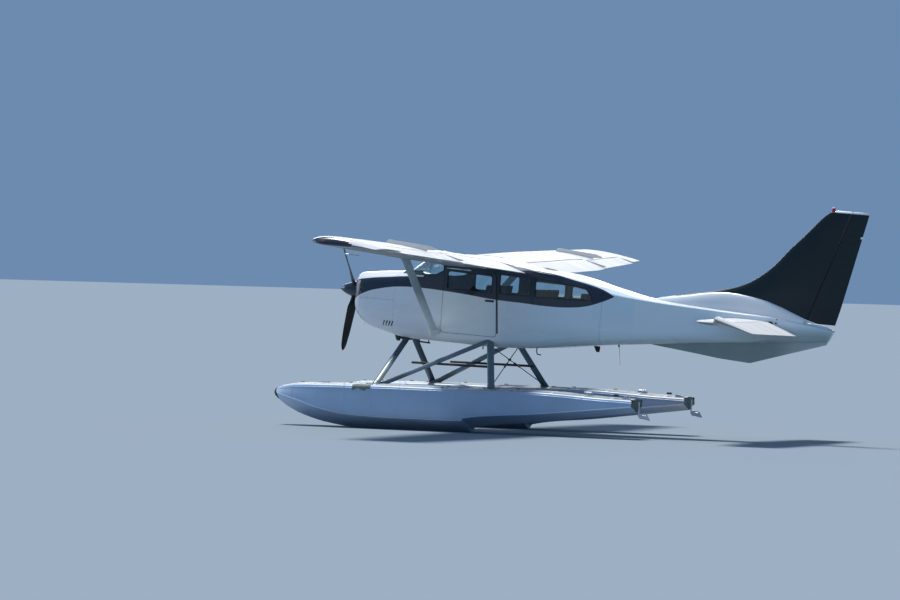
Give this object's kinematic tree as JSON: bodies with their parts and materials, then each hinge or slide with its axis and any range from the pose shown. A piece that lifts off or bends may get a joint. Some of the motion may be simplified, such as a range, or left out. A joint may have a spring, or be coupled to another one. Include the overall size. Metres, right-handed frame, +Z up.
{
  "type": "floatplane",
  "caption": "High-wing single-engine floatplane on twin stepped floats, with opening doors, moving flaps, ailerons, elevator, rudder, water rudders and a turning propeller.",
  "frame": {"origin": "on the floor under the middle of the bounding box, floats level on their keels", "axes": "+X aft, +Y starboard along the span, +Z up"},
  "size_m": [9.206, 10.9164, 3.5397],
  "materials": {
    "white_paint": "gloss white aircraft enamel",
    "dark_paint": "gloss dark navy enamel",
    "float_paint": "blue-grey enamel on riveted sheet",
    "strut_paint": "grey enamel",
    "propeller_black": "matt black",
    "spinner_navy": "gloss dark navy enamel",
    "engine_iron": "cast, unpainted",
    "exhaust_steel": "heat-darkened steel",
    "bare_metal": "bare sheet and wire",
    "cabin_trim": "dark grey trim and carpet",
    "seat_cover": "dark cloth and vinyl",
    "window_glass": "clear acrylic sheet"
  },
  "bodies": {
    "airframe": {"nose_bowl": "white_paint", "cowling_upper": "white_paint", "cowling_lower": "white_paint", "cabin_shell": "white_paint", "tail_cone": "white_paint", "wing_left": "white_paint", "wing_right": "white_paint", "tailplane_left": "white_paint", "tailplane_right": "white_paint", "ventral_fin": "white_paint", "fin": "dark_paint", "float_left": "float_paint", "float_right": "float_paint", "wing_strut_left": "strut_paint", "wing_strut_right": "strut_paint", "float_strut_front_left": "strut_paint", "float_strut_front_right": "strut_paint", "float_strut_rear_left": "strut_paint", "float_strut_rear_right": "strut_paint", "float_strut_diagonal_left": "strut_paint", "float_strut_diagonal_right": "strut_paint", "spreader_bar_front": "strut_paint", "spreader_bar_rear": "strut_paint", "boarding_step_left": "strut_paint", "boarding_step_right": "strut_paint", "engine_block": "engine_iron", "exhaust_pipe": "exhaust_steel", "firewall": "bare_metal", "rear_cross_brace": "bare_metal", "cabin_floor": "cabin_trim", "instrument_panel": "cabin_trim", "rear_bulkhead": "cabin_trim", "seat_front_left": "seat_cover", "seat_front_right": "seat_cover", "seat_middle_left": "seat_cover", "seat_middle_right": "seat_cover", "bench_rear": "seat_cover", "windshield": "window_glass", "window_left_middle": "window_glass", "window_left_rear": "window_glass", "window_right_front": "window_glass", "window_right_rear": "window_glass"},
    "propeller": {"propeller": "propeller_black", "spinner": "spinner_navy"},
    "flap_left": {"flap_left": "white_paint"},
    "flap_right": {"flap_right": "white_paint"},
    "aileron_left": {"aileron_left": "white_paint"},
    "aileron_right": {"aileron_right": "white_paint"},
    "elevator": {"elevator": "white_paint"},
    "rudder": {"rudder": "dark_paint"},
    "water_rudder_left": {"water_rudder_left": "bare_metal"},
    "water_rudder_right": {"water_rudder_right": "bare_metal"},
    "pilot_door": {"pilot_door": "white_paint", "pilot_door_window": "window_glass"},
    "cargo_door_front": {"cargo_door_front": "white_paint", "cargo_door_front_window": "window_glass"},
    "cargo_door_rear": {"cargo_door_rear": "white_paint", "cargo_door_rear_window": "window_glass"}
  },
  "joints": [
    {"name": "propeller_spin", "type": "hinge", "parent": "airframe", "child": "propeller", "pos_m": [-3.83344, 0, 2.13513], "axis": [0.9982, 0, -0.0595], "continuous": true},
    {"name": "flap_right_hinge", "type": "hinge", "parent": "airframe", "child": "flap_right", "pos_m": [-1.12974, 1.82028, 2.61867], "axis": [-0.0025, -0.9991, -0.0426], "range_deg": [-34, 6]},
    {"name": "flap_left_hinge", "type": "hinge", "parent": "airframe", "child": "flap_left", "pos_m": [-1.12974, -1.82028, 2.61867], "axis": [0.0025, -0.9991, 0.0426], "range_deg": [-34, 6]},
    {"name": "aileron_right_hinge", "type": "hinge", "parent": "airframe", "child": "aileron_right", "pos_m": [-1.13214, 3.96548, 2.7071], "axis": [0.0873, -0.9949, -0.0498], "range_deg": [-18, 18]},
    {"name": "aileron_left_hinge", "type": "hinge", "parent": "airframe", "child": "aileron_left", "pos_m": [-1.13214, -3.96548, 2.7071], "axis": [-0.0873, -0.9949, 0.0498], "range_deg": [-18, 18]},
    {"name": "elevator_hinge", "type": "hinge", "parent": "airframe", "child": "elevator", "pos_m": [3.07787, 0, 1.78342], "axis": [0, -1, 0], "range_deg": [-2, 36]},
    {"name": "rudder_hinge", "type": "hinge", "parent": "airframe", "child": "rudder", "pos_m": [3.99841, 0, 2.64769], "axis": [0.3802, 0, 0.9249], "range_deg": [-24, 24]},
    {"name": "water_rudder_left_hinge", "type": "hinge", "parent": "airframe", "child": "water_rudder_left", "pos_m": [1.433, -1.2, 0.5], "axis": [0, 0, 1], "range_deg": [-24, 24]},
    {"name": "water_rudder_right_hinge", "type": "hinge", "parent": "airframe", "child": "water_rudder_right", "pos_m": [1.433, 1.2, 0.5], "axis": [0, 0, 1], "range_deg": [-24, 24]},
    {"name": "pilot_door_hinge", "type": "hinge", "parent": "airframe", "child": "pilot_door", "pos_m": [-2.08355, -0.583, 2.03086], "axis": [-0.0595, 0, -0.9982], "range_deg": [0, 75]},
    {"name": "cargo_door_front_hinge", "type": "hinge", "parent": "airframe", "child": "cargo_door_front", "pos_m": [-1.13523, 0.583, 1.97435], "axis": [0.0595, 0, 0.9982], "range_deg": [0, 80]},
    {"name": "cargo_door_rear_hinge", "type": "hinge", "parent": "airframe", "child": "cargo_door_rear", "pos_m": [-0.00324, 0.552, 1.9069], "axis": [-0.0595, 0, -0.9982], "range_deg": [0, 80]}
  ],
  "couplings": [
    {"joint": "flap_left_hinge", "follows": "flap_right_hinge", "ratio": 1},
    {"joint": "aileron_left_hinge", "follows": "aileron_right_hinge", "ratio": -1},
    {"joint": "water_rudder_left_hinge", "follows": "rudder_hinge", "ratio": 1},
    {"joint": "water_rudder_right_hinge", "follows": "rudder_hinge", "ratio": 1}
  ]
}
